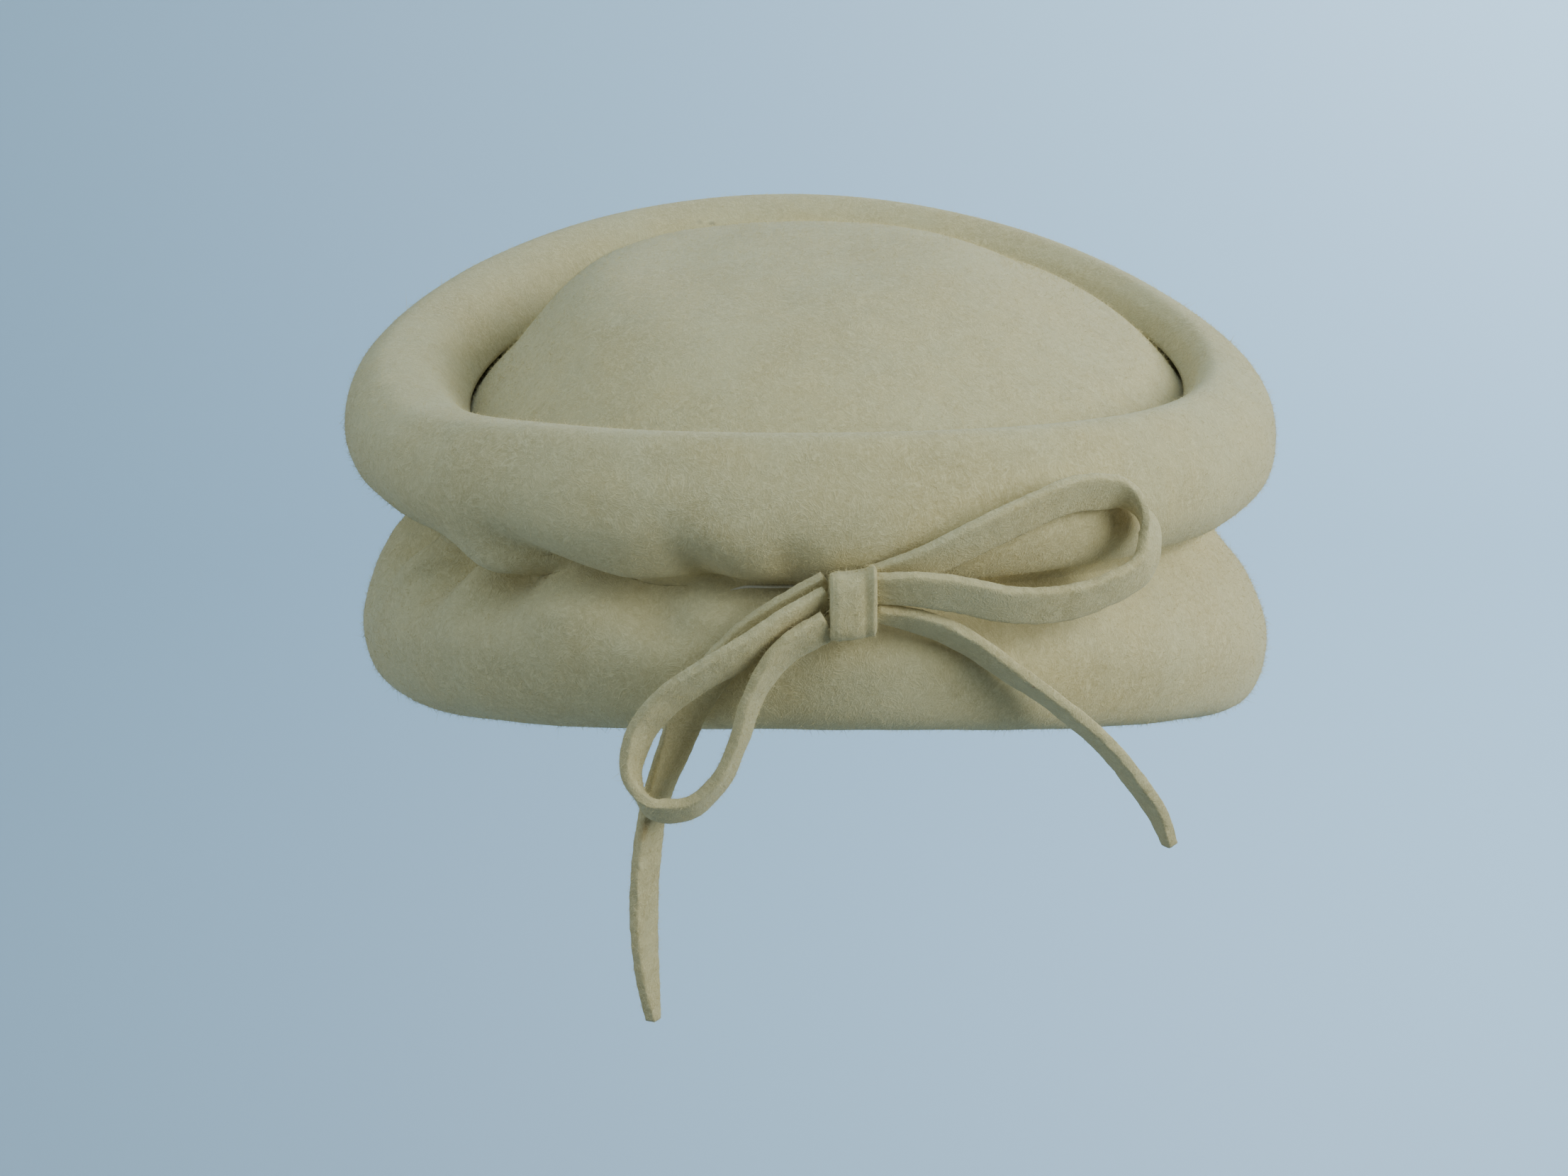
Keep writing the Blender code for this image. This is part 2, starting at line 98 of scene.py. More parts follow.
# Gathers that the thread pulls into the felt at the waist: pockets, and bulges where the depth is
# negative. angle is the place at the waist, from the back of the hat towards its left side, spread
# the half width, and lean the turn over 10 mm upward, all in degrees. level is the middle's distance
# above the waist and reach the half length, both along the felt. depth draws the felt inward and
# sink lets it hang. Levels, reaches, depths and sinks are in millimetres.
Gather = namedtuple("Gather", "angle spread lean level reach depth sink")
GATHERS = (
    Gather(14.5, 4.5, -0.5, -7, 9, -2.1, 0.0),
    Gather(23.5, 3.6, 1.0, -13, 9, 2.8, 0.0),
    Gather(33.5, 6.0, -0.5, -10, 10, -3.2, 0.0),
    Gather(44.5, 4.0, -1.0, -8, 8.5, 8.0, 0.0),
    Gather(50, 2.6, -4.0, -7, 9, -3.4, 0.0),
    Gather(55.5, 4.2, -2.0, -8.5, 9, 8.6, 0.0),
    Gather(62.5, 2.6, -4.5, -7, 10, -3.8, 0.0),
    Gather(72.5, 5.2, -1.5, -8, 9, 7.8, 0.0),
    Gather(84, 3.0, -1.0, -4, 8, -1.2, 0.0),
    Gather(95, 5.0, 0.0, -7, 7, 3.5, 0.0),
    Gather(112, 6.0, 0.0, -7, 7, 2.0, 0.0),
    Gather(5, 2.8, 0.5, 20, 9, 1.9, 0.0),
    Gather(13.5, 3.4, 1.8, 13, 12, 5.4, 0.0),
    Gather(22.5, 4.0, 2.0, 9, 8, -1.8, 0.8),
    Gather(31, 4.6, 4.5, 10, 10, 6.6, 0.0),
    Gather(43, 5.4, 2.0, 8, 8, -2.8, 4.6),
    Gather(54, 3.8, 4.0, 9, 7, 3.2, 1.5),
    Gather(66, 4.5, 3.0, 8, 7, 2.6, 0.0),
    Gather(80, 5.0, 2.0, 8, 7, 2.0, 0.0),
    Gather(96, 5.0, 0.0, 8, 7, 1.4, 0.0),
    Gather(64, 15.0, 0.0, 46, 14, 0.0, 2.4),
    Gather(142, 24.0, 0.0, 36, 16, -1.5, 0.0),
    Gather(216, 26.0, 0.0, 36, 16, -1.8, 0.0),
)

# Directions round the hat where the felt is divided. Each row gives the direction where it starts,
# from the back towards the left, and the step to the next direction, all in degrees.
Division = namedtuple("Division", "start step")
DIVISIONS = (Division(-8, 1.0), Division(118, 1.5))

# The strips run through these points, in millimetres. right, front and up give the middle of the
# strip, across_right, across_front and across_up the direction in which its width points, and width
# what the strip measures there: it is pinched at the knot and cut to a blunt point at its free end.
Stop = namedtuple("Stop", "right front up across_right across_front across_up width")
RIGHT_LOOP = (
    Stop(5.2, -109.4, 10.0, 0.0, 0.5, -0.87, 5.5),
    Stop(13.5, -111.3, 12.9, 0.0, 0.5, -0.87, 7.0),
    Stop(24.0, -110.8, 17.8, 0.0, 0.5, -0.87, STRIP_WIDTH),
    Stop(34.5, -107.3, 21.9, 0.0, 0.5, -0.87, STRIP_WIDTH),
    Stop(45.5, -101.8, 24.6, 0.0, 0.5, -0.87, STRIP_WIDTH),
    Stop(55.0, -97.0, 22.2, 0.3, 0.7, -0.65, STRIP_WIDTH),
    Stop(59.5, -96.0, 16.5, 0.5, 0.75, -0.4, STRIP_WIDTH),
    Stop(58.5, -98.5, 10.5, 0.4, 0.7, -0.6, STRIP_WIDTH),
    Stop(50.5, -104.5, 6.3, 0.1, 0.6, -0.8, STRIP_WIDTH),
    Stop(40.5, -109.0, 4.5, 0.0, 0.5, -0.87, STRIP_WIDTH),
    Stop(30.0, -112.2, 5.2, 0.0, 0.5, -0.87, STRIP_WIDTH),
    Stop(20.5, -113.4, 7.5, 0.0, 0.5, -0.87, STRIP_WIDTH),
    Stop(13.0, -113.6, 8.6, 0.0, 0.5, -0.87, 7.5),
    Stop(5.2, -112.4, 8.6, 0.0, 0.5, -0.87, 6.5),
)
LEFT_LOOP = (
    Stop(-3.9, -111.2, 6.6, 0.0, 0.5, -0.86, 6.0),
    Stop(-11.0, -112.4, 2.6, 0.1, 0.6, -0.8, 7.5),
    Stop(-20.0, -113.4, -3.2, 0.2, 0.65, -0.72, STRIP_WIDTH),
    Stop(-28.0, -112.8, -8.0, 0.25, 0.7, -0.65, STRIP_WIDTH),
    Stop(-35.0, -111.0, -13.6, 0.3, 0.7, -0.6, STRIP_WIDTH),
    Stop(-40.0, -109.0, -21.3, 0.35, 0.75, -0.5, STRIP_WIDTH),
    Stop(-41.0, -108.5, -28.3, 0.3, 0.8, -0.5, STRIP_WIDTH),
    Stop(-37.0, -108.5, -34.7, 0.2, 0.75, -0.65, STRIP_WIDTH),
    Stop(-30.8, -108.5, -35.0, 0.2, 0.82, -0.58, STRIP_WIDTH),
    Stop(-25.0, -109.0, -30.2, 0.22, 0.9, -0.42, STRIP_WIDTH),
    Stop(-21.0, -110.3, -21.8, 0.24, 0.92, -0.34, STRIP_WIDTH),
    Stop(-18.0, -112.0, -12.2, 0.3, 0.88, -0.34, STRIP_WIDTH),
    Stop(-12.0, -113.4, -3.0, 0.3, 0.7, -0.6, 7.5),
    Stop(-3.9, -113.2, 1.9, 0.0, 0.4, -0.9, 6.5),
)
LEFT_TAIL = (
    Stop(-3.9, -108.6, 9.2, 0.0, 0.45, -0.9, 4.5),
    Stop(-10.0, -107.8, 5.2, 0.1, 0.4, -0.85, 5.5),
    Stop(-16.0, -107.3, 0.8, 0.3, 0.3, -0.8, 6.5),
    Stop(-21.0, -107.2, -3.8, 0.5, 0.2, -0.75, 7.0),
    Stop(-25.5, -106.6, -9.0, 0.65, 0.15, -0.6, 7.0),
    Stop(-29.5, -104.8, -15.5, 0.85, 0.15, -0.45, 7.0),
    Stop(-33.0, -102.4, -25.0, 0.8, 0.5, -0.25, 7.0),
    Stop(-36.5, -101.0, -35.0, 0.65, 0.75, -0.1, 7.0),
    Stop(-38.5, -100.3, -48.0, 0.6, 0.8, 0.0, 7.5),
    Stop(-39.0, -100.2, -62.0, 0.6, 0.8, 0.0, 7.0),
    Stop(-38.4, -100.0, -71.5, 0.6, 0.8, 0.0, 5.5),
    Stop(-37.4, -99.5, -80.5, 0.6, 0.8, 0.0, 2.5),
)
RIGHT_TAIL = (
    Stop(5.2, -110.4, 3.6, 0.0, 0.75, -0.65, 4.0),
    Stop(12.0, -109.6, 1.9, -0.1, 0.7, -0.7, 5.5),
    Stop(18.8, -108.9, -0.6, -0.2, 0.75, -0.62, 6.5),
    Stop(25.0, -108.5, -4.3, -0.2, 0.82, -0.52, 7.5),
    Stop(31.3, -107.8, -9.0, -0.17, 0.88, -0.44, STRIP_WIDTH),
    Stop(37.7, -106.6, -13.6, -0.12, 0.92, -0.37, STRIP_WIDTH),
    Stop(44.1, -105.2, -18.8, -0.11, 0.92, -0.36, STRIP_WIDTH),
    Stop(50.7, -103.6, -25.0, -0.11, 0.92, -0.36, STRIP_WIDTH),
    Stop(56.7, -101.8, -32.4, -0.15, 0.9, -0.38, 7.0),
    Stop(62.1, -99.9, -40.5, -0.2, 0.88, -0.4, 5.5),
    Stop(64.6, -98.6, -46.4, -0.2, 0.88, -0.4, 3.0),
)
STRIPS = {
    "bow_loop_right": RIGHT_LOOP,
    "bow_loop_left": LEFT_LOOP,
    "bow_tail_right": RIGHT_TAIL,
    "bow_tail_left": LEFT_TAIL,
}

# The knot is the strip's middle wrapped round the loops and tails. These are its sections from its
# left to its right end, in millimetres, each a rounded rectangle in an upright plane. flare turns
# the upper corner of the wrapped end outward.
Section = namedtuple("Section", "right front up half_depth half_height flare")
KNOT = (
    Section(-3.7, -112.0, 5.1, 3.0, 5.4, 0.0),
    Section(-3.5, -112.0, 5.1, 3.6, 6.0, 0.0),
    Section(-2.9, -112.0, 5.15, 4.0, 6.3, 0.0),
    Section(-0.5, -112.1, 5.3, 4.2, 6.4, 0.0),
    Section(2.0, -112.1, 5.6, 4.1, 6.4, 0.1),
    Section(3.2, -112.0, 5.85, 3.9, 6.4, 0.3),
    Section(3.8, -112.05, 6.1, 4.15, 6.5, 0.7),
    Section(4.3, -112.1, 6.3, 4.4, 6.6, 1.0),
    Section(4.8, -112.0, 6.3, 4.2, 6.5, 1.0),
    Section(5.05, -112.0, 6.3, 3.6, 6.0, 0.8),
)

# The gathering thread lies across the crease beside the knot. angle is its place in degrees from the
# back towards the left, from_waist its distance above the waist along the felt and lift its distance
# off the felt's surface, both in millimetres.
ThreadStop = namedtuple("ThreadStop", "angle from_waist lift")
THREAD = (
    ThreadStop(17.6, -3.0, -0.4),
    ThreadStop(16.6, -2.7, 0.3),
    ThreadStop(15.0, -2.2, 0.5),
    ThreadStop(13.2, -0.8, 0.6),
    ThreadStop(11.6, 0.2, 0.7),
    ThreadStop(9.0, 0.6, 0.8),
    ThreadStop(6.0, 1.0, 0.8),
    ThreadStop(3.5, 1.2, 0.6),
    ThreadStop(2.0, 1.0, -0.3),
)

# Small stains: each a place in metres, a radius in metres, a colour and a strength.
FELT_MARKS = (
    ((-0.0189, 0.0866, 0.0007), 0.0011, (0.16, 0.12, 0.09), 0.55),
    ((-0.0220, 0.0864, 0.0014), 0.0011, (0.20, 0.15, 0.10), 0.35),
    ((-0.0127, -0.1008, -0.0239), 0.0006, (0.03, 0.03, 0.03), 0.8),
)
STRIP_MARKS = (
    ((-0.0385, -0.1035, -0.0972), 0.0013, (0.36, 0.20, 0.06), 0.45),
    ((-0.0388, -0.1035, -0.0985), 0.0012, (0.36, 0.20, 0.06), 0.5),
    ((-0.0392, -0.1034, -0.0999), 0.0011, (0.36, 0.20, 0.06), 0.4),
    ((0.0354, -0.1106, -0.0690), 0.0006, (0.36, 0.12, 0.06), 0.6),
)

# The photo's camera, in millimetres and degrees. It looks at the aim from behind the hat.
PHOTO_WIDTH = 2212
CAMERA_AIM = (-6.0, 0.0, -15.0)
CAMERA_DISTANCE = 700.0
CAMERA_ELEVATION = 12.0
CAMERA_AZIMUTH = 3.2
FOCAL_PIXELS = 4394
SENSOR_WIDTH = 36.0

# The sides of the felt sheet: the dome's upper side, and the other side, which lines the crown and
# becomes the outside of the brim.
UPPER_SIDE, LINING_SIDE = -1.0, 1.0


class HatFelt(bpy.types.PropertyGroup):
    thickness: FloatProperty(
        name="Thickness", description="Thickness of the felt", default=0.0022, unit="LENGTH"
    )
    unevenness: FloatProperty(
        name="Unevenness",
        description="How far the felt strays from its smooth shape",
        default=0.0005,
        unit="LENGTH",
    )
    light_colour: FloatVectorProperty(
        name="Light fibres",
        description="Colour of the lightest wool fibres",
        subtype="COLOR",
        size=3,
        min=0,
        max=1,
        default=(0.70, 0.60, 0.345),
    )
    dark_colour: FloatVectorProperty(
        name="Dark fibres",
        description="Colour between the fibres",
        subtype="COLOR",
        size=3,
        min=0,
        max=1,
        default=(0.46, 0.37, 0.185),
    )
    fibre_size: FloatProperty(
        name="Fibre size", description="Distance between strands", default=0.0008, unit="LENGTH"
    )
    fuzz_length: FloatProperty(
        name="Fuzz length", description="Usual length of a loose fibre", default=0.0010, unit="LENGTH"
    )
    fuzz_count: IntProperty(
        name="Fuzz", description="Loose fibres on each part of the felt", default=40000
    )


class HatBow(bpy.types.PropertyGroup):
    strip_thickness: FloatProperty(
        name="Strip thickness", description="Thickness of the bow's strip", default=0.0024, unit="LENGTH"
    )
    waver: FloatProperty(
        name="Waver", description="How far the cut edges stray", default=0.00022, unit="LENGTH"
    )
    thread_width: FloatProperty(
        name="Thread width", description="Width of the gathering thread", default=0.0006, unit="LENGTH"
    )
    thread_colour: FloatVectorProperty(
        name="Thread colour",
        description="Colour of the gathering thread",
        subtype="COLOR",
        size=3,
        min=0,
        max=1,
        default=(0.80, 0.74, 0.60),
    )


class HatStage(bpy.types.PropertyGroup):
    floor_drop: FloatProperty(
        name="Floor drop", description="Distance from the crown down to the floor", default=1.1, unit="LENGTH"
    )
    wall_distance: FloatProperty(
        name="Wall distance", description="Distance from the hat to the wall", default=2.2, unit="LENGTH"
    )
    wall_colour: FloatVectorProperty(
        name="Wall colour",
        description="Colour of the pale wall",
        subtype="COLOR",
        size=3,
        min=0,
        max=1,
        default=(0.41, 0.61, 0.79),
    )
    floor_colour: FloatVectorProperty(
        name="Floor colour",
        description="Colour of the pale floor under the hat",
        subtype="COLOR",
        size=3,
        min=0,
        max=1,
        default=(0.42, 0.49, 0.54),
    )
    window_power: FloatProperty(name="Window", description="Power of the window light", default=16.0)
    ceiling_power: FloatProperty(name="Ceiling", description="Power of the light overhead", default=5.0)
    side_power: FloatProperty(name="Side light", description="Power of the weak light on the left", default=5.0)
    wall_power: FloatProperty(name="Wall light", description="Power of the light on the wall", default=66.0)
    sky_strength: FloatProperty(name="Sky", description="Strength of the pale sky", default=0.22)


def smooth_through(knots, values, places):
    """Values at these places on a smooth curve that passes through every value at its knot."""
    gaps = np.diff(knots)
    slopes = np.diff(values, axis=0) / gaps[:, None]
    tangents = np.empty_like(values)
    tangents[0], tangents[-1] = slopes[0], slopes[-1]
    tangents[1:-1] = (gaps[:-1, None] * slopes[1:] + gaps[1:, None] * slopes[:-1]) / (
        gaps[:-1, None] + gaps[1:, None]
    )
    span = np.clip(np.searchsorted(knots, places, side="right") - 1, 0, len(gaps) - 1)
    gap = gaps[span][:, None]
    t = (places - knots[span])[:, None] / gap
    start, end = values[span], values[span + 1]
    leaving, arriving = tangents[span] * gap, tangents[span + 1] * gap
    return (
        start * (1 + 2 * t) * (1 - t) ** 2
        + leaving * t * (1 - t) ** 2
        + end * t**2 * (3 - 2 * t)
        + arriving * t**2 * (t - 1)
    )


def divided_rings():
    """The rings with smooth ones added between them, and each one's distance above the waist."""
    sizes = np.array([row[1:-1] for row in RINGS])
    side = sizes[:, [0, 4]]
    knots = np.concatenate(([0.0], np.cumsum(np.linalg.norm(np.diff(side, axis=0), axis=1))))
    places = [
        np.linspace(knots[i], knots[i + 1], row.cuts, endpoint=False) for i, row in enumerate(RINGS[:-1])
    ]
    places = np.concatenate(places + [knots[-1:]])
    waist = knots[[row.name for row in RINGS].index("waist")]
    return smooth_through(knots, sizes, places), places - waist


def ring_index(name):
    """The place of a named ring among the divided ones."""
    names = [row.name for row in RINGS]
    return sum(row.cuts for row in RINGS[: names.index(name)])


def directions():
    """Directions round the hat in degrees, from the back towards its left side."""
    found = []
    for i, division in enumerate(DIVISIONS):
        end = DIVISIONS[i + 1].start if i + 1 < len(DIVISIONS) else DIVISIONS[0].start + 360
        count = round((end - division.start) / division.step)
        found += [division.start + (end - division.start) * k / count for k in range(count)]
    return np.array(found)


def gathering(degrees, from_waist):
    """How far the gathers draw the felt inward and down, in millimetres."""
    depth, sink = 0.0, 0.0
    for row in GATHERS:
        off = (degrees - row.angle - row.lean * from_waist / 10 + 180) % 360 - 180
        share = np.exp(-((off / row.spread) ** 2) - ((from_waist - row.level) / row.reach) ** 2)
        depth = depth + row.depth * share
        sink = sink + row.sink * share
    return depth, sink


def felt_points(sizes, from_waist, degrees):
    """Points on the middle of the felt's thickness, in metres. The arguments are arrays that fit."""
    half_width, half_length, shift_right, shift_front, height, rise_front, rise_right, dip = np.moveaxis(
        sizes, -1, 0
    )
    angle = np.radians(degrees)
    right, front = -np.sin(angle), -np.cos(angle)
    depth, sink = gathering(degrees, from_waist)
    x = shift_right + half_width * right - depth * right
    y = shift_front + half_length * front - depth * front
    z = height + rise_front * front + rise_right * right - dip * (right**2 - front**2) - sink
    return np.stack(np.broadcast_arrays(x, y, z - WAIST_DROP), axis=-1) * MM


def felt_grid(unevenness):
    """The felt's middle surface as a grid of points, ring by ring, with the normals of its lining side.

    Towards the tucked edge the dents turn round, so that the edge follows the dome it lies against.
    """
    rings, from_waist = divided_rings()
    degrees = directions()
    grid = felt_points(rings[:, None, :], from_waist[:, None], degrees[None, :])
    along = np.gradient(grid, axis=0)
    around = np.roll(grid, -1, axis=1) - np.roll(grid, 1, axis=1)
    normals = np.cross(along, around)
    size = np.linalg.norm(normals, axis=2, keepdims=True)
    normals = np.where(size > 1e-12, normals / np.maximum(size, 1e-12), (0.0, 0.0, -1.0))
    stray = np.array([uneven(point) for point in grid.reshape(-1, 3)]).reshape(grid.shape[:2])
    stray[0] = stray[0].mean()
    rising = np.linspace(0.0, 1.0, len(grid) - ring_index("upper_roll"))[:, None]
    stray[ring_index("upper_roll") :] *= 1 - 2 * rising
    return grid + normals * (stray * unevenness)[:, :, None], normals


def uneven(point):
    """Between about -1 and 1: broad dents with smaller ones over them."""
    place = Vector(point)
    return 0.7 * noise.noise(place * 38) + 0.3 * noise.noise(place * 95)


def closed_object(name, shape, body="root"):
    """Makes a bmesh an object that rides on the hat's one body."""
    mesh = bpy.data.meshes.new(name)
    shape.to_mesh(mesh)
    shape.free()
    mesh.shade_smooth()
    return riding_object(name, mesh, body)


def riding_object(name, mesh, body="root"):
    piece = bpy.data.objects.new(name, mesh)
    bpy.context.scene.collection.objects.link(piece)
    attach(piece, body)
    return piece


def sleeve(sections):
    """A closed body whose outline is drawn through the sections, each a row of points in metres."""
    sides = len(sections[0])
    shape = bmesh.new()
    bmesh.ops.create_circle(shape, cap_ends=True, radius=1.0, segments=sides)
    bmesh.ops.spin(
        shape,
        geom=shape.verts[:] + shape.edges[:],
        axis=(0, 0, 1),
        cent=(0, 0, 0),
        dvec=(0, 0, 1),
        steps=len(sections) - 1,
        angle=0.0,
    )
    bmesh.ops.holes_fill(shape, edges=[edge for edge in shape.edges if edge.is_boundary], sides=0)
    for vertex in shape.verts:
        turn = math.atan2(vertex.co.y, vertex.co.x) / (2 * math.pi)
        vertex.co = sections[round(vertex.co.z)][round(turn * sides) % sides]
    bmesh.ops.recalc_face_normals(shape, faces=shape.faces)
    return shape


def rounded(angle, power):
    """A point of a rounded square of half size 1, softer as the power grows towards 1."""
    across, through = math.cos(angle), math.sin(angle)
    return (
        math.copysign(abs(across) ** power, across),
        math.copysign(abs(through) ** power, through),
    )


def strip_frames(stops, count):
    """Middle, tangent, width direction and width at even steps along a strip, in millimetres."""
    rows = np.array(stops)
    steps = np.linalg.norm(np.diff(rows[:, :3], axis=0), axis=1)
    knots = np.concatenate(([0.0], np.cumsum(steps)))
    fine = smooth_through(knots, rows, np.linspace(0, knots[-1], count * 8 + 1))
    run = np.concatenate(([0.0], np.cumsum(np.linalg.norm(np.diff(fine[:, :3], axis=0), axis=1))))
    even = np.linspace(0, run[-1], count + 1)
    picked = np.array([[np.interp(place, run, column) for column in fine.T] for place in even])
    along = np.gradient(picked[:, :3], axis=0)
    frames = []
    for row, direction in zip(picked, along):
        tangent = Vector(direction).normalized()
        across = Vector(row[3:6])
        across = (across - tangent * across.dot(tangent)).normalized()
        frames.append((Vector(row[:3]), tangent, across, row[6]))
    return frames


def in_frame(point):
    """A point of the tables, in millimetres, as a place in the frame, in metres."""
    return Vector((point[0], point[1], point[2] - WAIST_DROP)) * MM


def shader_group(name, inputs, outputs):
    """A shader node group with these sockets, and its input and output nodes."""
    group = bpy.data.node_groups.new(name, "ShaderNodeTree")
    for socket, kind, value in inputs:
        made = group.interface.new_socket(socket, in_out="INPUT", socket_type=kind)
        if value is not None:
            made.default_value = value
    for socket, kind in outputs:
        group.interface.new_socket(socket, in_out="OUTPUT", socket_type=kind)
    return group, group.nodes.new("NodeGroupInput"), group.nodes.new("NodeGroupOutput")


def math_node(tree, operation, first, second=None):
    made = tree.nodes.new("ShaderNodeMath")
    made.operation = operation
    for socket, value in zip(made.inputs, (first, second)):
        if isinstance(value, bpy.types.NodeSocket):
            tree.links.new(value, socket)
        elif value is not None:
            socket.default_value = value
    return made.outputs[0]


def noise_node(tree, place, scale, detail, roughness, distortion):
    made = tree.nodes.new("ShaderNodeTexNoise")
    tree.links.new(place, made.inputs["Vector"])
    if isinstance(scale, bpy.types.NodeSocket):
        tree.links.new(scale, made.inputs["Scale"])
    else:
        made.inputs["Scale"].default_value = scale
    made.inputs["Detail"].default_value = detail
    made.inputs["Roughness"].default_value = roughness
    made.inputs["Distortion"].default_value = distortion
    return made.outputs["Fac"]


def spread_values(tree, value, low, high):
    """Stretches the values between low and high to the full range from 0 to 1."""
    made = tree.nodes.new("ShaderNodeMapRange")
    made.inputs["From Min"].default_value = low
    made.inputs["From Max"].default_value = high
    tree.links.new(value, made.inputs["Value"])
    return made.outputs["Result"]


def mix_colours(tree, factor, first, second, blend="MIX"):
    made = tree.nodes.new("ShaderNodeMix")
    made.data_type = "RGBA"
    made.blend_type = blend
    for socket, value in ((made.inputs[0], factor), (made.inputs[6], first), (made.inputs[7], second)):
        if isinstance(value, bpy.types.NodeSocket):
            tree.links.new(value, socket)
        elif isinstance(value, (int, float)):
            socket.default_value = value
        else:
            socket.default_value = (*value, 1.0)
    return made.outputs[2]


STRAND_DIRECTIONS = ((1.0, 0.3, 0.4), (-0.4, 1.0, 0.5), (0.5, -0.6, 1.0), (1.0, -0.9, -0.3), (-0.2, 0.6, 1.0))


def wool_fibres():
    """Matted wool: bent strands in several directions, small clumps, broad blotches and tints."""
    name = "wool_fibres"
    if name in bpy.data.node_groups:
        return bpy.data.node_groups[name]
    group, given, result = shader_group(
        name,
        [("Place", "NodeSocketVector", None), ("Fibre Size", "NodeSocketFloat", 0.0008)],
        [
            ("Fibre", "NodeSocketFloat"),
            ("Blotch", "NodeSocketFloat"),
            ("Tint", "NodeSocketFloat"),
            ("Height", "NodeSocketFloat"),
        ],
    )
    place = given.outputs["Place"]
    scale = math_node(group, "DIVIDE", 1.0, given.outputs["Fibre Size"])
    bends = group.nodes.new("ShaderNodeTexNoise")
    bends.inputs["Scale"].default_value = 160.0
    bends.inputs["Detail"].default_value = 1.0
    group.links.new(place, bends.inputs["Vector"])
    bent = group.nodes.new("ShaderNodeVectorMath")
    bent.operation = "MULTIPLY_ADD"
    bent.inputs[1].default_value = (0.006, 0.006, 0.006)
    group.links.new(bends.outputs["Color"], bent.inputs[0])
    group.links.new(place, bent.inputs[2])
    strands = None
    for direction in STRAND_DIRECTIONS:
        mapping = group.nodes.new("ShaderNodeMapping")
        mapping.vector_type = "TEXTURE"
        mapping.inputs["Rotation"].default_value = Vector(direction).to_track_quat("Y", "Z").to_euler()
        mapping.inputs["Scale"].default_value = (1.0, 6.0, 1.0)
        group.links.new(bent.outputs[0], mapping.inputs["Vector"])
        values = noise_node(group, mapping.outputs[0], scale, 1.0, 0.5, 0.0)
        off = math_node(group, "ABSOLUTE", math_node(group, "SUBTRACT", values, 0.5))
        strand = spread_values(group, off, 0.075, 0.0)
        strands = strand if strands is None else math_node(group, "ADD", strands, strand)
    strands = spread_values(group, strands, 0.6, 3.0)
    clumps = noise_node(group, place, math_node(group, "MULTIPLY", scale, 0.5), 2.0, 0.6, 0.6)
    grain = noise_node(group, place, math_node(group, "MULTIPLY", scale, 2.2), 2.0, 0.7, 0.3)
    height = math_node(group, "MULTIPLY", strands, 0.4)
    height = math_node(group, "ADD", height, math_node(group, "MULTIPLY", clumps, 0.7))
    height = math_node(group, "ADD", height, math_node(group, "MULTIPLY", grain, 0.5))
    fibre = spread_values(group, height, 0.45, 1.05)
    blotch = spread_values(group, noise_node(group, place, 90.0, 3.0, 0.6, 0.4), 0.3, 0.7)
    tint = spread_values(group, noise_node(group, place, 45.0, 2.0, 0.5, 0.8), 0.3, 0.7)
    group.links.new(fibre, result.inputs["Fibre"])
    group.links.new(blotch, result.inputs["Blotch"])
    group.links.new(tint, result.inputs["Tint"])
    group.links.new(height, result.inputs["Height"])
    return group


def felt_material(name, felt, marks=()):
    """Cream wool felt. marks are soft spots, each a (place, radius, colour, strength)."""
    material = bpy.data.materials.new(name)
    material.use_nodes = True
    tree = material.node_tree
    shader = tree.nodes["Principled BSDF"]
    coordinates = tree.nodes.new("ShaderNodeTexCoord")
    place = coordinates.outputs["Object"]
    fibres = tree.nodes.new("ShaderNodeGroup")
    fibres.node_tree = wool_fibres()
    fibres.inputs["Fibre Size"].default_value = felt.fibre_size
    tree.links.new(place, fibres.inputs["Place"])
    dark, light = tuple(felt.dark_colour), tuple(felt.light_colour)
    colour = mix_colours(tree, fibres.outputs["Fibre"], dark, light)
    yellowed = tuple(a * b for a, b in zip(light, (0.97, 0.90, 0.76)))
    cooler = tuple(a * b for a, b in zip(light, (0.90, 0.96, 1.02)))
    colour = mix_colours(tree, math_node(tree, "MULTIPLY", fibres.outputs["Blotch"], 0.38), colour, yellowed)
    colour = mix_colours(tree, math_node(tree, "MULTIPLY", fibres.outputs["Tint"], 0.40), colour, cooler)
    for spot, radius, tint, strength in marks:
        distance = tree.nodes.new("ShaderNodeVectorMath")
        distance.operation = "DISTANCE"
        distance.inputs[1].default_value = spot
        tree.links.new(place, distance.inputs[0])
        mask = spread_values(tree, distance.outputs["Value"], radius, radius * 0.3)
        colour = mix_colours(tree, math_node(tree, "MULTIPLY", mask, strength), colour, tint)
    tree.links.new(colour, shader.inputs["Base Color"])
    bump = tree.nodes.new("ShaderNodeBump")
    bump.inputs["Strength"].default_value = 0.8
    bump.inputs["Distance"].default_value = 0.0002
    tree.links.new(fibres.outputs["Height"], bump.inputs["Height"])
    tree.links.new(bump.outputs["Normal"], shader.inputs["Normal"])
    shader.inputs["Roughness"].default_value = 0.95
    shader.inputs["Specular IOR Level"].default_value = 0.12
    shader.inputs["Sheen Weight"].default_value = 0.25
    shader.inputs["Sheen Roughness"].default_value = 0.6
    shader.inputs["Sheen Tint"].default_value = (0.92, 0.92, 0.80, 1.0)
    return material


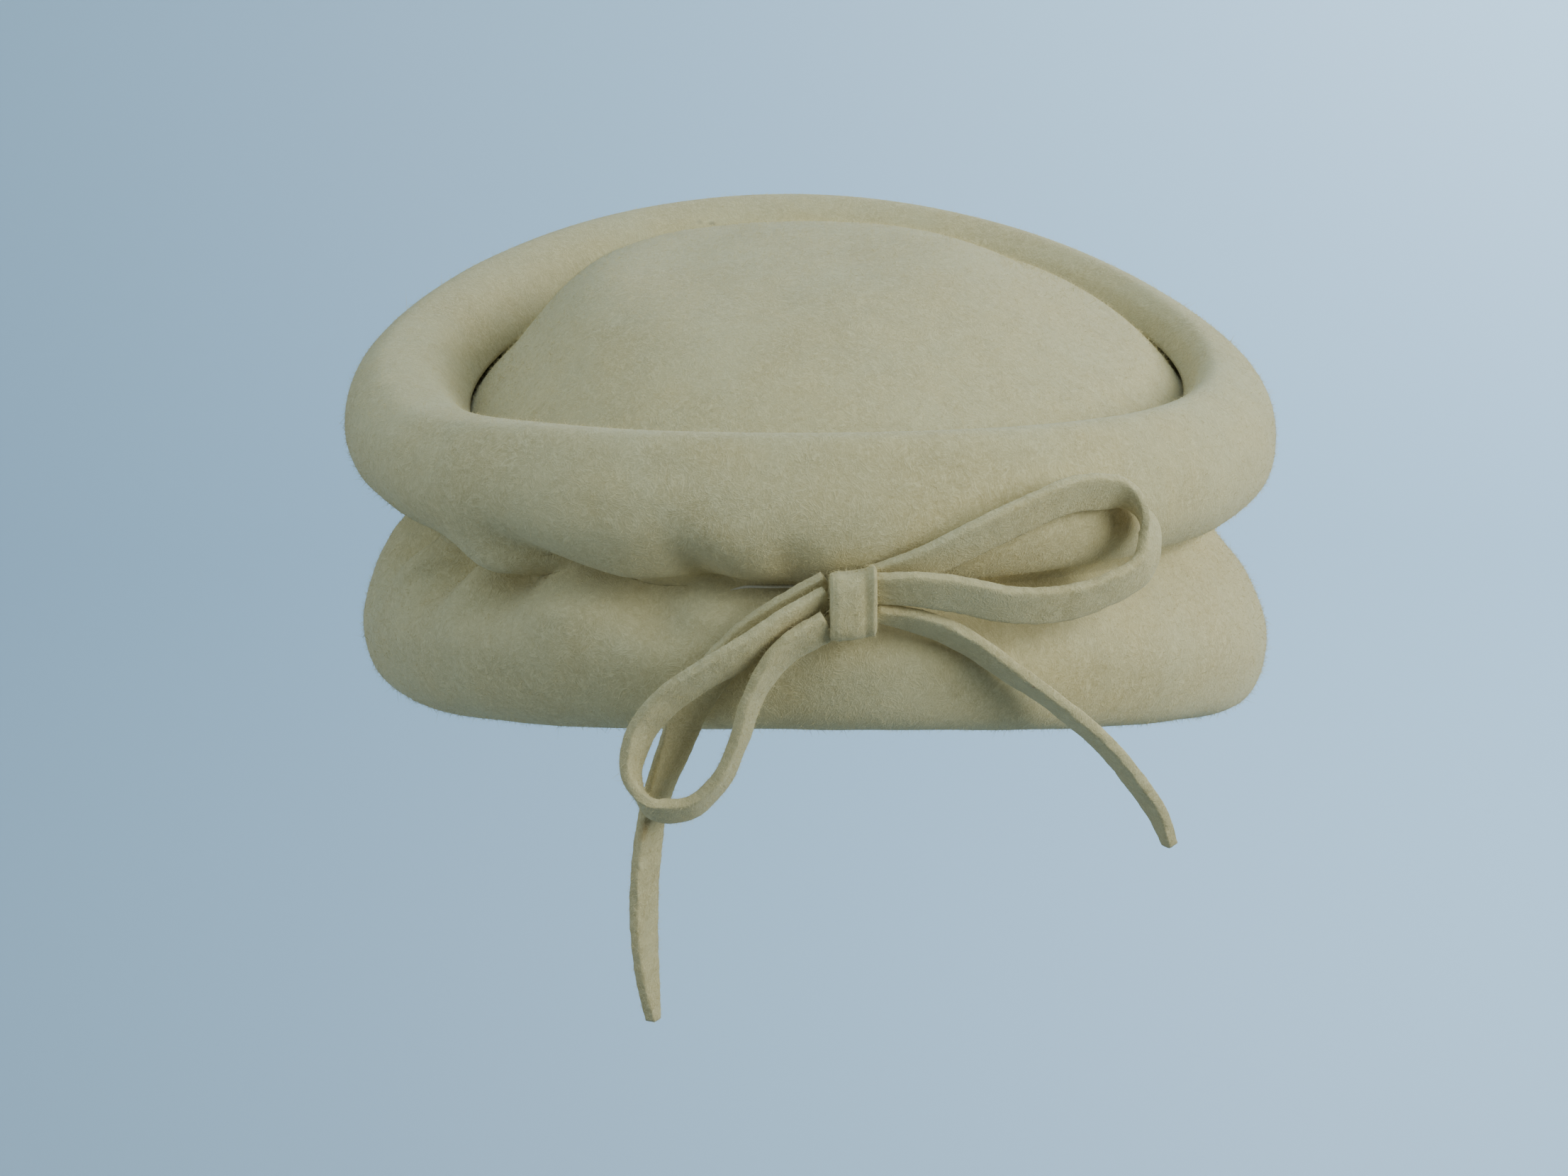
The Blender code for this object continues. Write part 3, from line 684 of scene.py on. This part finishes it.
def fibre_material(name, felt):
    """Loose wool fibres, paler and yellower ones side by side."""
    material = bpy.data.materials.new(name)
    material.use_nodes = True
    tree = material.node_tree
    shader = tree.nodes["Principled BSDF"]
    coordinates = tree.nodes.new("ShaderNodeTexCoord")
    shade = spread_values(tree, noise_node(tree, coordinates.outputs["Object"], 900.0, 2.0, 0.6, 0.0), 0.35, 0.65)
    pale = tuple(min(1.0, part * 1.12) for part in felt.light_colour)
    tree.links.new(mix_colours(tree, shade, tuple(felt.light_colour), pale), shader.inputs["Base Color"])
    shader.inputs["Roughness"].default_value = 0.8
    shader.inputs["Specular IOR Level"].default_value = 0.2
    return material


def thread_material(name, colour):
    """Twisted thread, its light and dark turns following its length."""
    material = bpy.data.materials.new(name)
    material.use_nodes = True
    tree = material.node_tree
    shader = tree.nodes["Principled BSDF"]
    coordinates = tree.nodes.new("ShaderNodeTexCoord")
    twist = noise_node(tree, coordinates.outputs["Object"], 2600.0, 2.0, 0.6, 0.5)
    darker = tuple(part * 0.6 for part in colour)
    tree.links.new(mix_colours(tree, twist, darker, colour), shader.inputs["Base Color"])
    bump = tree.nodes.new("ShaderNodeBump")
    bump.inputs["Distance"].default_value = 0.0001
    tree.links.new(twist, bump.inputs["Height"])
    tree.links.new(bump.outputs["Normal"], shader.inputs["Normal"])
    shader.inputs["Roughness"].default_value = 0.7
    return material


def backdrop_material(name, stage):
    """Paper that is pale on the wall and deeper on the floor."""
    material = bpy.data.materials.new(name)
    material.use_nodes = True
    tree = material.node_tree
    shader = tree.nodes["Principled BSDF"]
    coordinates = tree.nodes.new("ShaderNodeTexCoord")
    parts = tree.nodes.new("ShaderNodeSeparateXYZ")
    tree.links.new(coordinates.outputs["Object"], parts.inputs[0])
    share = spread_values(tree, parts.outputs["Y"], stage.wall_distance * 0.5, stage.wall_distance)
    colour = mix_colours(tree, share, tuple(stage.floor_colour), tuple(stage.wall_colour))
    tree.links.new(colour, shader.inputs["Base Color"])
    shader.inputs["Roughness"].default_value = 0.9
    return material


def extruded(shape, edges, shift):
    """Draws edges out by this shift, and gives the new edges at its end."""
    made = bmesh.ops.extrude_edge_only(shape, edges=edges)["geom"]
    moved = [part for part in made if isinstance(part, bmesh.types.BMVert)]
    bmesh.ops.translate(shape, verts=moved, vec=shift)
    return [
        part
        for part in made
        if isinstance(part, bmesh.types.BMEdge) and all(corner in moved for corner in part.verts)
    ]


def fuzz_mesh(name, roots, normals, length, seed):
    """Loose fibres as one mesh of slim three-sided cones that lean out of the surface."""
    shape = bmesh.new()
    bmesh.ops.create_cone(shape, cap_ends=True, segments=3, radius1=1.0, radius2=0.0, depth=1.0)
    bmesh.ops.remove_doubles(shape, verts=shape.verts, dist=0.0001)
    shape.verts.index_update()
    cone = np.array([vertex.co for vertex in shape.verts])
    cone[:, 2] += 0.5
    sides = np.array([[vertex.index for vertex in face.verts] for face in shape.faces])
    shape.free()
    count = len(roots)
    chance = np.random.default_rng(seed)
    flat = np.cross(normals, chance.normal(size=(count, 3)))
    flat /= np.linalg.norm(flat, axis=1, keepdims=True)
    lean = np.radians(chance.uniform(5, 62, (count, 1)))
    out = flat * np.cos(lean) + normals * np.sin(lean)
    beside = np.cross(out, normals)
    beside /= np.linalg.norm(beside, axis=1, keepdims=True)
    third = np.cross(out, beside)
    length = length * np.exp(chance.normal(0, 0.45, (count, 1)))
    radius = chance.uniform(0.00002, 0.00004, (count, 1))
    bury = normals * 0.00006
    points = (
        (roots - bury)[:, None, :]
        + cone[None, :, 0:1] * (beside * radius)[:, None, :]
        + cone[None, :, 1:2] * (third * radius)[:, None, :]
        + cone[None, :, 2:3] * (out * length)[:, None, :]
    )
    faces = sides[None, :, :] + (np.arange(count) * len(cone))[:, None, None]
    mesh = bpy.data.meshes.new(name)
    mesh.from_pydata(points.reshape(-1, 3).tolist(), [], faces.reshape(-1, sides.shape[1]).tolist())
    mesh.update()
    return mesh


def grid_samples(grid, normals, rows, side, thickness, count, seed):
    """Places spread evenly over some rows of the felt, on one of its sides, with their normals."""
    chance = np.random.default_rng(seed)
    first, last = rows
    a = grid[first:last]
    b = grid[first + 1 : last + 1]
    c, d = np.roll(b, -1, axis=1), np.roll(a, -1, axis=1)
    area = np.linalg.norm(np.cross(c - a, b - d), axis=2).ravel()
    picked = chance.choice(len(area), size=count, p=area / area.sum())
    u, v = chance.random((count, 1)), chance.random((count, 1))
    corners = [corner.reshape(-1, 3)[picked] for corner in (a, b, c, d)]
    places = (
        corners[0] * (1 - u) * (1 - v) + corners[1] * u * (1 - v) + corners[2] * u * v + corners[3] * (1 - u) * v
    )
    facing = side * normals[first:last].reshape(-1, 3)[picked]
    return places + facing * thickness / 2, facing


def mesh_samples(piece, count, chance):
    """Places spread evenly over a mesh's surface, with their normals."""
    mesh = piece.data
    mesh.calc_loop_triangles()
    corners = np.array([[mesh.vertices[i].co for i in triangle.vertices] for triangle in mesh.loop_triangles])
    normal = np.cross(corners[:, 1] - corners[:, 0], corners[:, 2] - corners[:, 0])
    area = np.linalg.norm(normal, axis=1)
    picked = chance.choice(len(area), size=count, p=area / area.sum())
    u, v = chance.random((count, 1)), chance.random((count, 1))
    turned = (u + v) > 1
    u, v = np.where(turned, 1 - u, u), np.where(turned, 1 - v, v)
    first, second, third = corners[picked, 0], corners[picked, 1], corners[picked, 2]
    places = first + (second - first) * u + (third - first) * v
    return places, normal[picked] / area[picked][:, None]


class HAT_OT_felt(bpy.types.Operator):
    """The hat's felt: one wall from the dome down, round the fold and up to the tucked edge"""

    bl_idname = "hat.felt"
    bl_label = "Felt"

    def execute(self, context):
        felt = context.scene.hat_felt
        grid, _ = felt_grid(felt.unevenness)
        rings, around = grid.shape[:2]
        shape = bmesh.new()
        profile = [shape.verts.new((index, 0, 0)) for index in range(rings)]
        edges = [shape.edges.new(pair) for pair in zip(profile, profile[1:])]
        bmesh.ops.spin(
            shape,
            geom=profile + edges,
            axis=(0, 0, 1),
            cent=(0, 0, 0),
            steps=around,
            angle=2 * math.pi,
            use_merge=True,
        )
        bmesh.ops.remove_doubles(shape, verts=shape.verts, dist=0.001)
        for vertex in shape.verts:
            index = round(vertex.co.length)
            step = round(math.atan2(vertex.co.y, vertex.co.x) / (2 * math.pi) * around) % around
            vertex.co = grid[index, step]
        bmesh.ops.recalc_face_normals(shape, faces=shape.faces)
        piece = closed_object("hat_felt", shape)
        wall = piece.modifiers.new("felt_thickness", "SOLIDIFY")
        wall.thickness = felt.thickness
        wall.offset = 0.0
        wall.use_even_offset = True
        piece.data.materials.append(felt_material("cream_felt", felt, FELT_MARKS))
        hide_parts("felt_body")
        return {"FINISHED"}


class HAT_OT_bow(bpy.types.Operator):
    """The bow's two loops and two tails: one narrow felt strip with cut edges"""

    bl_idname = "hat.bow"
    bl_label = "Bow"

    def execute(self, context):
        felt, bow = context.scene.hat_felt, context.scene.hat_bow
        material = felt_material("strip_felt", felt, STRIP_MARKS)
        for name, stops in STRIPS.items():
            piece = closed_object(name + "_strip", sleeve(self.sections(stops, bow)))
            piece.data.materials.append(material)
            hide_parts(name)
        return {"FINISHED"}

    @staticmethod
    def sections(stops, bow, sides=24, step=0.55):
        """The strip's outlines, with edges that waver as scissors leave them."""
        run = sum(math.dist(a[:3], b[:3]) for a, b in zip(stops, stops[1:]))
        made = []
        for middle, tangent, across, width in strip_frames(stops, round(run / step)):
            through = tangent.cross(across)
            section = []
            for k in range(sides):
                a, b = rounded(2 * math.pi * k / sides, 0.35)
                stray = noise.noise(middle * 0.45 + Vector((0, 0, 40 * a))) * bow.waver
                stray += noise.noise(middle * 1.6 + Vector((0, 0, 90 * a))) * bow.waver * 0.6
                half = width * MM / 2 + stray
                thick = bow.strip_thickness / 2 * (1 + 0.12 * noise.noise(middle * 0.3))
                section.append(in_frame(middle) + across * a * half + through * b * thick)
            made.append(section)
        return made


class HAT_OT_knot(bpy.types.Operator):
    """The knot: the strip wrapped once round the middle of the bow"""

    bl_idname = "hat.knot"
    bl_label = "Knot"

    def execute(self, context):
        felt = context.scene.hat_felt
        rows = np.array(KNOT)
        places = np.linspace(rows[0, 0], rows[-1, 0], 60)
        fine = smooth_through(rows[:, 0], rows, places)
        sections = [self.section(row) for row in fine]
        piece = closed_object("bow_knot", sleeve(sections))
        piece.data.materials.append(bpy.data.materials["strip_felt"])
        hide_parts("knot_band")
        return {"FINISHED"}

    @staticmethod
    def section(row, sides=64):
        right, front, up, half_depth, half_height, flare = row
        made = []
        for k in range(sides):
            depth, height = rounded(2 * math.pi * k / sides, 0.55)
            lift = flare * max(0.0, height) * max(0.0, -depth)
            point = (right, front + depth * half_depth - lift * 0.4, up + height * half_height + lift)
            made.append(in_frame(point))
        return made


class HAT_OT_thread(bpy.types.Operator):
    """The gathering thread where it shows beside the knot"""

    bl_idname = "hat.thread"
    bl_label = "Gathering thread"

    def execute(self, context):
        felt, bow = context.scene.hat_felt, context.scene.hat_bow
        rings, from_waist = divided_rings()
        stops = np.array(THREAD)
        fine = smooth_through(np.arange(len(stops), dtype=float), stops, np.linspace(0, len(stops) - 1, 90))
        sizes = np.array([[np.interp(row[1], from_waist, column) for column in rings.T] for row in fine])
        points = felt_points(sizes, fine[:, 1], fine[:, 0])
        angle = np.radians(fine[:, 0])
        outward = np.stack((-np.sin(angle), -np.cos(angle), np.zeros(len(angle))), axis=1)
        points += outward * (felt.thickness / 2 + fine[:, 2:3] * MM)
        piece = closed_object("gathering_thread", sleeve(tube_sections(points, bow.thread_width / 2)))
        piece.data.materials.append(thread_material("pale_thread", tuple(bow.thread_colour)))
        return {"FINISHED"}


def tube_sections(points, radius, sides=8):
    """Round sections along a line of points."""
    made = []
    along = np.gradient(points, axis=0)
    for point, direction in zip(points, along):
        tangent = Vector(direction).normalized()
        beside = tangent.cross(Vector((0, 0, 1))).normalized()
        above = beside.cross(tangent)
        ring = []
        for k in range(sides):
            angle = 2 * math.pi * k / sides
            ring.append(Vector(point) + (beside * math.cos(angle) + above * math.sin(angle)) * radius)
        made.append(ring)
    return made


class HAT_OT_fuzz(bpy.types.Operator):
    """Loose fibres that stand out of the felt and soften its outline"""

    bl_idname = "hat.fuzz"
    bl_label = "Fuzz"

    def execute(self, context):
        felt = context.scene.hat_felt
        grid, normals = felt_grid(felt.unevenness)
        fibre = fibre_material("loose_fibres", felt)
        zones = {
            "fuzz_dome": ("dome_middle", "shoulder", UPPER_SIDE),
            "fuzz_upper_roll": ("waist", "tucked_edge", LINING_SIDE),
            "fuzz_lower_roll": ("fold_inside", "waist", LINING_SIDE),
        }
        for seed, (name, (start, end, side)) in enumerate(zones.items()):
            rows = (ring_index(start), ring_index(end))
            roots, facing = grid_samples(
                grid, normals, rows, side, felt.thickness, felt.fuzz_count, seed + 1
            )
            piece = riding_object(name, fuzz_mesh(name, roots, facing, felt.fuzz_length, seed + 11))
            piece.data.materials.append(fibre)
        chance = np.random.default_rng(5)
        roots, facing = [], []
        for name, share in (
            ("bow_loop_right_strip", 0.28),
            ("bow_loop_left_strip", 0.28),
            ("bow_tail_right_strip", 0.18),
            ("bow_tail_left_strip", 0.18),
            ("bow_knot", 0.08),
        ):
            found = mesh_samples(bpy.data.objects[name], round(felt.fuzz_count * share), chance)
            roots.append(found[0])
            facing.append(found[1])
        mesh = fuzz_mesh("fuzz_bow", np.concatenate(roots), np.concatenate(facing), felt.fuzz_length * 0.7, 6)
        piece = riding_object("fuzz_bow", mesh)
        piece.data.materials.append(fibre)
        return {"FINISHED"}


class HAT_OT_stage(bpy.types.Operator):
    """Pale backdrop, soft window light and the photo's camera"""

    bl_idname = "hat.stage"
    bl_label = "Stage"

    def execute(self, context):
        stage = context.scene.hat_stage
        self.backdrop(stage)
        self.lights(context.scene, stage)
        self.camera(context.scene)
        return {"FINISHED"}

    @staticmethod
    def backdrop(stage):
        """A floor that curves up into a wall far behind the hat, as one bent sheet."""
        width, near, bend, top = 9.0, -2.5, 0.6, 3.6
        shape = bmesh.new()
        corners = shape.verts.new((-width / 2, near, 0)), shape.verts.new((width / 2, near, 0))
        edges = [shape.edges.new(corners)]
        edges = extruded(shape, edges, (0, stage.wall_distance - bend - near, 0))
        bent = bmesh.ops.spin(
            shape,
            geom=edges + list(edges[0].verts),
            axis=(1, 0, 0),
            cent=(0, stage.wall_distance - bend, bend),
            steps=24,
            angle=math.pi / 2,
        )["geom_last"]
        extruded(shape, [part for part in bent if isinstance(part, bmesh.types.BMEdge)], (0, 0, top))
        bmesh.ops.translate(shape, verts=shape.verts, vec=(0, 0, -stage.floor_drop))
        mesh = bpy.data.meshes.new("backdrop")
        shape.to_mesh(mesh)
        shape.free()
        mesh.shade_smooth()
        sheet = bpy.data.objects.new("backdrop", mesh)
        bpy.context.scene.collection.objects.link(sheet)
        mesh.materials.append(backdrop_material("backdrop_paper", stage))

    @staticmethod
    def lights(scene, stage):
        """A window on the right, softer lights overhead and on the left, one on the wall, and a pale sky."""
        for name, place, target, size, power, colour in (
            ("window", (1.0, -0.75, 0.45), (0, 0, -0.06), 0.9, stage.window_power, (0.90, 1.0, 0.94)),
            ("ceiling", (-0.3, -0.1, 0.95), (0, 0, -0.06), 1.5, stage.ceiling_power, (0.74, 0.93, 1.0)),
            ("side_light", (-1.15, -0.5, 0.30), (0, 0, -0.06), 1.0, stage.side_power, (0.78, 0.95, 1.0)),
            ("wall_light", (1.6, 0.9, 0.6), (0.5, 2.2, 0.2), 0.8, stage.wall_power, (0.92, 0.97, 1.0)),
        ):
            data = bpy.data.lights.new(name, "AREA")
            data.size = size
            data.energy = power
            data.color = colour
            lamp = bpy.data.objects.new(name, data)
            scene.collection.objects.link(lamp)
            lamp.location = place
            lamp.rotation_euler = (Vector(place) - Vector(target)).to_track_quat("Z", "Y").to_euler()
        world = bpy.data.worlds.new("pale_sky")
        world.use_nodes = True
        tree = world.node_tree
        coordinates = tree.nodes.new("ShaderNodeTexCoord")
        parts = tree.nodes.new("ShaderNodeSeparateXYZ")
        tree.links.new(coordinates.outputs["Generated"], parts.inputs[0])
        height = spread_values(tree, parts.outputs["Z"], -0.35, 0.35)
        sky = tree.nodes["Background"]
        colour = mix_colours(tree, height, (0.30, 0.30, 0.28), (0.60, 0.82, 1.0))
        tree.links.new(colour, sky.inputs["Color"])
        sky.inputs["Strength"].default_value = stage.sky_strength
        scene.world = world

    @staticmethod
    def camera(scene):
        elevation, azimuth = math.radians(CAMERA_ELEVATION), math.radians(CAMERA_AZIMUTH)
        towards = Vector(
            (
                math.sin(azimuth) * math.cos(elevation),
                math.cos(azimuth) * math.cos(elevation),
                -math.sin(elevation),
            )
        )
        data = bpy.data.cameras.new("photo_camera")
        data.sensor_width = SENSOR_WIDTH
        data.lens = FOCAL_PIXELS / PHOTO_WIDTH * SENSOR_WIDTH
        camera = bpy.data.objects.new("photo_camera", data)
        scene.collection.objects.link(camera)
        camera.location = in_frame(CAMERA_AIM) - towards * CAMERA_DISTANCE * MM
        camera.rotation_euler = (math.pi / 2 - elevation, 0, -azimuth)
        scene.camera = camera


class HAT_PT_panel(bpy.types.Panel):
    """Sizes, colours and building steps of the felt hat"""

    bl_label = "Felt Hat"
    bl_idname = "HAT_PT_panel"
    bl_space_type = "VIEW_3D"
    bl_region_type = "UI"
    bl_category = "Felt Hat"

    def draw(self, context):
        layout = self.layout
        for settings in (context.scene.hat_felt, context.scene.hat_bow, context.scene.hat_stage):
            box = layout.box()
            for name in settings.__annotations__:
                box.prop(settings, name)
        for operator in OPERATORS:
            layout.operator(operator.bl_idname)


OPERATORS = (HAT_OT_felt, HAT_OT_bow, HAT_OT_knot, HAT_OT_thread, HAT_OT_fuzz, HAT_OT_stage)
CLASSES = (HatFelt, HatBow, HatStage, *OPERATORS, HAT_PT_panel)


def register():
    for made in CLASSES:
        bpy.utils.register_class(made)
    bpy.types.Scene.hat_felt = PointerProperty(type=HatFelt)
    bpy.types.Scene.hat_bow = PointerProperty(type=HatBow)
    bpy.types.Scene.hat_stage = PointerProperty(type=HatStage)


def unregister():
    del bpy.types.Scene.hat_stage
    del bpy.types.Scene.hat_bow
    del bpy.types.Scene.hat_felt
    for made in reversed(CLASSES):
        bpy.utils.unregister_class(made)


def main():
    register()
    bpy.ops.hat.felt()
    bpy.ops.hat.bow()
    bpy.ops.hat.knot()
    bpy.ops.hat.thread()
    bpy.ops.hat.fuzz()
    bpy.ops.hat.stage()


if __name__ == "__main__":
    main()
